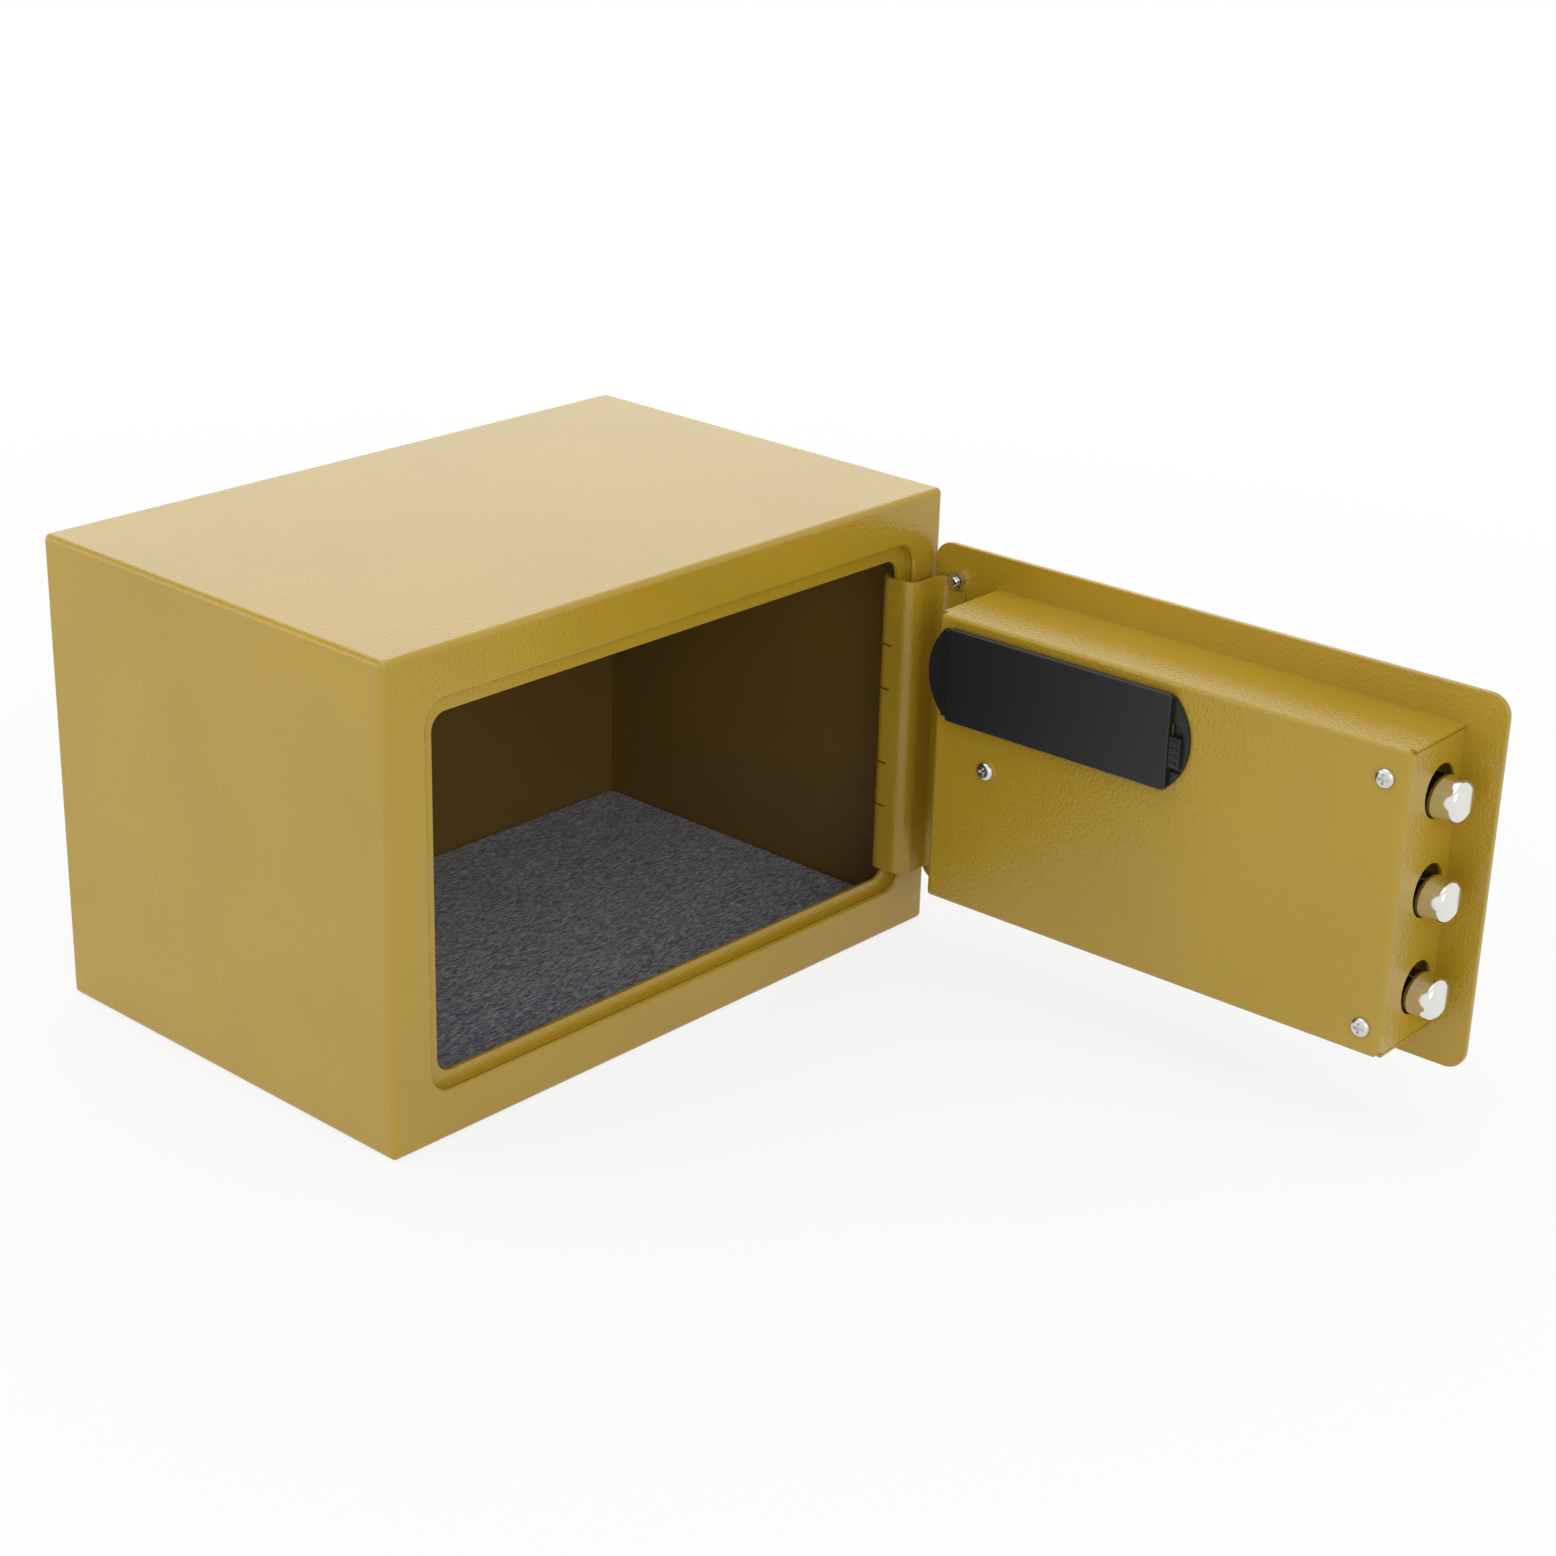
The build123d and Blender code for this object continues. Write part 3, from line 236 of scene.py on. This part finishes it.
def felt_cloth():
    """Pressed felt: fibres 3.3 mm long and 0.6 mm wide laid three ways, dark to blue-grey."""
    material, tree, output = new_material("pressed_felt")
    where = object_place(tree)
    nap = None
    for turn in FIBRE_TURNS:
        laid = add(
            tree,
            "ShaderNodeMapping",
            {"Vector": where, "Rotation": (0.0, 0.0, turn), "Scale": FIBRE_CELLS},
        )
        fibres = add(
            tree,
            "ShaderNodeTexNoise",
            {"Vector": laid.outputs["Vector"], "Scale": 1.0, "Detail": 2.0, "Distortion": 0.4},
        ).outputs["Fac"]
        nap = fibres if nap is None else maths(tree, "MAXIMUM", nap, fibres)
    ramp = add(tree, "ShaderNodeValToRGB", {"Fac": nap})
    ramp.color_ramp.elements[0].position = 0.5
    ramp.color_ramp.elements[0].color = colour("595C6C")
    ramp.color_ramp.elements[1].position = 0.78
    ramp.color_ramp.elements[1].color = colour("E4E6F2")
    bump = add(
        tree, "ShaderNodeBump", {"Height": nap, "Strength": 0.8, "Distance": FELT_DEPTH}
    )
    surface(
        tree,
        output,
        {
            "Base Color": ramp.outputs["Color"],
            "Roughness": 0.95,
            "Sheen Weight": 0.25,
            "Normal": bump.outputs["Normal"],
        },
    )
    return material


def tinted_lights():
    """Three small lenses 12 mm apart: green, amber and red, from the hinge side outwards."""
    material, tree, output = new_material("tinted_lens")
    place = add(tree, "ShaderNodeSeparateXYZ", {"Vector": object_place(tree)})
    step = add(
        tree,
        "ShaderNodeMapRange",
        {
            "Value": place.outputs["Y"],
            "From Min": door_point(KEY_MIDDLE[0] + LIGHT_PITCH, 0, 0).y,
            "From Max": door_point(KEY_MIDDLE[0] - LIGHT_PITCH, 0, 0).y,
        },
    )
    ramp = add(tree, "ShaderNodeValToRGB", {"Fac": step.outputs["Result"]})
    ramp.color_ramp.interpolation = "CONSTANT"
    ramp.color_ramp.elements[0].position = 0.0
    ramp.color_ramp.elements[0].color = colour("C4271B")
    ramp.color_ramp.elements[1].position = 0.25
    ramp.color_ramp.elements[1].color = colour("D9A21B")
    ramp.color_ramp.elements.new(0.75).color = colour("2E8B3A")
    surface(tree, output, {"Base Color": ramp.outputs["Color"], "Roughness": 0.12})
    return material


finishes = {
    # shell and back panel: gold outside, darker gold inside their boxes as painted shade
    powder_coat("gold_powder_coat_shell_with_painted_shade", GOLD, PAINTED_SHADE_SHELL_BOX): ["body_shell"],
    powder_coat("gold_powder_coat_back_with_painted_shade", GOLD, PAINTED_SHADE_BACK_BOX): ["back_panel"],
    powder_coat("gold_powder_coat", GOLD): [
        "door_frame", "door_plate", "door_pan", "door_hinge_leaf",
    ],
    # the hinge leaf inside the opening is darker gold all over: painted shade
    powder_coat("gold_painted_shade_all_over", PAINTED_SHADE_GOLD): ["body_hinge_leaf"],
    felt_cloth(): ["floor_mat"],
    plain("polished_nickel", "E2E0DA", 0.09, 1.0): ["locking_bolts"],
    plain("bright_zinc", "D2D2D0", 0.24, 1.0, ZINC_GRAIN): [
        "pan_screws", "leaf_studs", "leaf_nuts", "hinge_pin", "pan_brackets", "guide_posts",
        "bolt_carriage", "spindle_cam", "knob_spindle", "fascia_screws", "lock_nut",
        "solenoid_frame", "lock_tongue",
    ],
    plain("bright_nickel_plate", "B4B4B2", 0.2, 1.0): [
        "lock_cylinder", "cover_pivot", "solenoid_plunger", "plunger_spring",
        "battery_contacts", "contact_coil_lower", "contact_coil_upper",
    ],
    plain("machined_brass", "C9A24B", 0.25, 1.0): ["lock_plug"],
    plain("black_moulded_plastic", "1B1B1E", 0.42, grain=MOULDED_GRAIN): [
        "keypad_fascia", "battery_box", "battery_cover", "keyhole_cover", "knob",
    ],
    plain("grey_key_plastic", "C6C7C4", 0.45): [key for key, legend in LEGENDS],
    plain("black_silicone", "151515", 0.6): ["key_mat"],
    plain("green_circuit_board", "1F5A33", 0.4): ["circuit_board"],
    tinted_lights(): ["indicator_lights"],
    plain("natural_nylon", "DAD6C8", 0.5): ["spindle_bush"],
    plain("blue_coil_tape", "27448C", 0.45): ["solenoid_coil"],
    plain("cell_wrap", "24262B", 0.3): ["battery_cells"],
}
for material, names in finishes.items():
    for name in names:
        mesh = nodes[name].data
        mesh.materials.clear()
        mesh.materials.append(material)

# ---- legends printed on the keys ----
ink = plain("black_key_ink", "161616", 0.5)
facing = Matrix((-ALONG, UP, -INWARD)).transposed().to_4x4()
for place, (key, legend) in enumerate(LEGENDS):
    column = 1 - place % 3
    row = 1.5 - place // 3
    curve = bpy.data.curves.new(key + "_legend", "FONT")
    curve.body = legend
    curve.size = LEGEND_SIZE
    curve.align_x = "CENTER"
    curve.align_y = "CENTER"
    curve.extrude = INK_THICKNESS
    shaped = bpy.data.objects.new(key + "_legend_curve", curve)
    scene.collection.objects.link(shaped)
    bpy.context.view_layer.update()
    evaluated = shaped.evaluated_get(bpy.context.evaluated_depsgraph_get())
    printed = bpy.data.meshes.new_from_object(evaluated)
    middle = door_point(
        KEY_MIDDLE[0] + column * KEY_PITCH[0],
        KEY_FACE - INK_STAND,
        KEY_MIDDLE[1] + row * KEY_PITCH[1],
    )
    printed.transform(Matrix.Translation(middle) @ facing)
    printed.materials.clear()
    printed.materials.append(ink)
    bpy.data.objects.remove(shaped)
    piece = bpy.data.objects.new(key + "_legend", printed)
    scene.collection.objects.link(piece)
    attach(piece, key)

# ---- black floor of the latch notch beside the battery cover ----
shape = bmesh.new()
bmesh.ops.create_cube(shape, size=1.0)
bmesh.ops.scale(shape, vec=LATCH_FLOOR_SIZE, verts=shape.verts)
bmesh.ops.transform(
    shape,
    matrix=Matrix.Translation(door_point(*LATCH_FLOOR_AT)) @ facing,
    verts=shape.verts,
)
latch_floor_mesh = bpy.data.meshes.new("latch_floor")
shape.to_mesh(latch_floor_mesh)
shape.free()
latch_floor_mesh.materials.append(nodes["battery_box"].data.materials[0])
latch_floor = bpy.data.objects.new("latch_floor", latch_floor_mesh)
scene.collection.objects.link(latch_floor)
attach(latch_floor, "door")

# ---- floor, light and camera, in metres and watts ----
FLOOR_SIZE = 60.0
FLOOR_DROP = 0.0002
FADE_FROM = 0.3
FADE_TO = 0.9
FADE_LEAST = 0.82  # share of plain glow near the object; the matt rest takes its shadow
ROOM_STRENGTH = 0.62
CARD_PLACE = (-0.78, 1.3, 1.73)
CARD_FACES = (0.36, -0.66, -0.65)
CARD_SIZE = (1.6, 0.7, 1.0)
CAMERA_LENS = 68.537
CAMERA_SENSOR = 36.0
CAMERA_PLACE = (-0.78818, -0.84735, 0.56357)
CAMERA_TURNS = (67.4604, -1.587, -47.8004)


def facing_turn(direction):
    """Rotation that turns the -Z axis to a direction."""
    return Vector(direction).to_track_quat("-Z", "Y").to_euler()


def mirrored_or_seen(tree):
    """One where a ray comes straight from the camera, off gloss or through a clear lens."""
    path = add(tree, "ShaderNodeLightPath")
    total = path.outputs["Is Camera Ray"]
    for ray in ("Is Glossy Ray", "Is Transmission Ray"):
        total = maths(tree, "MAXIMUM", total, path.outputs[ray])
    return total


def shader_mix(tree, factor, first, second):
    """Mix of two shaders."""
    return add(tree, "ShaderNodeMixShader", {"Fac": factor, 1: first, 2: second}).outputs[0]


bpy.ops.mesh.primitive_plane_add(size=FLOOR_SIZE, location=(0, 0, -FLOOR_DROP))
floor = bpy.context.object
floor.name = "studio_floor"
material, tree, output = new_material("white_floor")
matt = add(tree, "ShaderNodeBsdfDiffuse", {"Color": colour("F4F4F4")}).outputs[0]
glow = add(tree, "ShaderNodeEmission", {"Color": colour("FFFFFF"), "Strength": 1.0}).outputs[0]
away = add(tree, "ShaderNodeVectorMath", {0: object_place(tree)}, operation="LENGTH")
fade = add(
    tree,
    "ShaderNodeMapRange",
    {
        "Value": away.outputs["Value"],
        "From Min": FADE_FROM,
        "From Max": FADE_TO,
        "To Min": FADE_LEAST,
        "To Max": 1.0,
    },
)
lift = shader_mix(tree, fade.outputs["Result"], matt, glow)
seen = shader_mix(tree, mirrored_or_seen(tree), matt, lift)
tree.links.new(seen, output.inputs["Surface"])
floor.data.materials.append(material)

world = bpy.data.worlds.new("studio_world")
scene.world = world
world.use_nodes = True
tree = world.node_tree
tree.nodes.clear()
room, white = (
    add(tree, "ShaderNodeBackground", {"Color": colour("FFFFFF"), "Strength": strength}).outputs[0]
    for strength in (ROOM_STRENGTH, 1.0)
)
sky = shader_mix(tree, mirrored_or_seen(tree), room, white)
tree.links.new(sky, add(tree, "ShaderNodeOutputWorld").inputs["Surface"])


def softbox(name, place, target, size, power):
    """Square area lamp at a place, facing a target, which the camera doesn't see."""
    lamp = bpy.data.lights.new(name, "AREA")
    lamp.shape = "SQUARE"
    lamp.size = size
    lamp.energy = power
    holder = bpy.data.objects.new(name, lamp)
    holder.location = place
    holder.rotation_euler = facing_turn(Vector(target) - Vector(place))
    scene.collection.objects.link(holder)
    holder.visible_camera = False


softbox("overhead_softbox", (-0.2, 0.3, 2.0), (0.05, 0, 0.1), 1.8, 12.0)
softbox("left_softbox", (-1.7, 1.4, 0.7), (0, 0, 0.1), 1.2, 5.6)
softbox("front_softbox", (-1.1, -2.15, 1.1), (0.0, -0.1, 0.1), 1.2, 11.3)
softbox("backdrop_softbox", (1.75, 1.75, 1.15), (0, 0, 0.2), 2.2, 9.0)

# ---- dark card, seen only in gloss ----
bpy.ops.mesh.primitive_plane_add(
    size=1.0, location=CARD_PLACE, rotation=facing_turn(CARD_FACES)
)
dark_card = bpy.context.object
dark_card.name = "dark_card"
dark_card.scale = CARD_SIZE
dark_card.data.materials.append(plain("black_card", "202020", 0.9))
dark_card.visible_camera = False
dark_card.visible_diffuse = False
dark_card.visible_shadow = False

camera = bpy.data.cameras.new("photo_camera")
camera.lens = CAMERA_LENS
camera.sensor_width = CAMERA_SENSOR
holder = bpy.data.objects.new("photo_camera", camera)
holder.location = CAMERA_PLACE
holder.rotation_euler = Euler([math.radians(turn) for turn in CAMERA_TURNS])
scene.collection.objects.link(holder)
scene.camera = holder
scene.view_settings.view_transform = "Standard"
